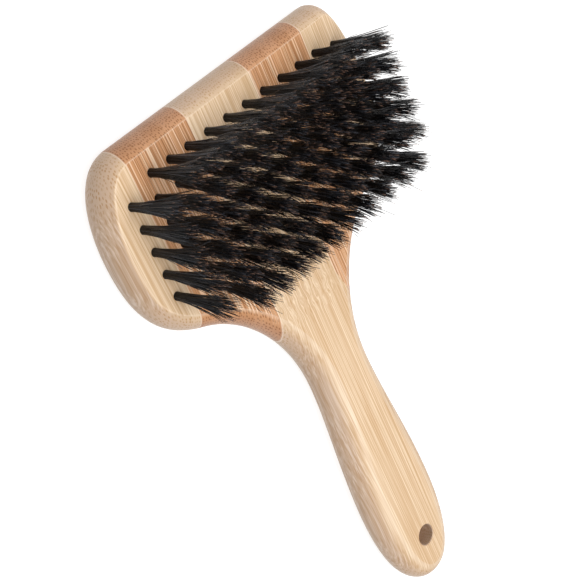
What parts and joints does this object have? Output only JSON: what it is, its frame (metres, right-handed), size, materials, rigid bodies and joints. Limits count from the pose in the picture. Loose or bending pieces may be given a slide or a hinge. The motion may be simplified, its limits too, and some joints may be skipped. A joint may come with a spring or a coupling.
{
  "type": "paddle brush",
  "caption": "Flat wooden paddle brush glued up from lengthwise strips, with stiff bristle tufts set in drilled holes and a hanging hole in the handle.",
  "frame": {"origin": "middle of the bounding box at its lowest face, which is the flat back of the board", "axes": "+Y from the handle's end to the wide end of the head, +Z out of the board's bristle side, +X to the right seen from the bristle side with the handle down"},
  "size_m": [0.109, 0.187, 0.0337],
  "materials": {
    "bamboo_pale": "fine-sanded pale bamboo, satin clear coat",
    "bamboo_caramel": "fine-sanded caramel bamboo with brown fibre lines, satin clear coat",
    "bristle": "black bristle with a soft sheen",
    "anchor_metal": "plain flat wire"
  },
  "bodies": {
    "root": {"strip_left_edge": "bamboo_pale", "strip_left_caramel": "bamboo_caramel", "strip_centre": "bamboo_pale", "strip_right_caramel": "bamboo_caramel", "strip_right_edge": "bamboo_pale", "tufts_01": "bristle", "tufts_02": "bristle", "tufts_03": "bristle", "tufts_04": "bristle", "tufts_05": "bristle", "tufts_06": "bristle", "tufts_07": "bristle", "tufts_08": "bristle", "tufts_09": "bristle", "tufts_10": "bristle", "tufts_11": "bristle", "tufts_12": "bristle", "anchors_01": "anchor_metal", "anchors_02": "anchor_metal", "anchors_03": "anchor_metal", "anchors_04": "anchor_metal", "anchors_05": "anchor_metal", "anchors_06": "anchor_metal", "anchors_07": "anchor_metal", "anchors_08": "anchor_metal", "anchors_09": "anchor_metal", "anchors_10": "anchor_metal", "anchors_11": "anchor_metal", "anchors_12": "anchor_metal"}
  },
  "joints": []
}
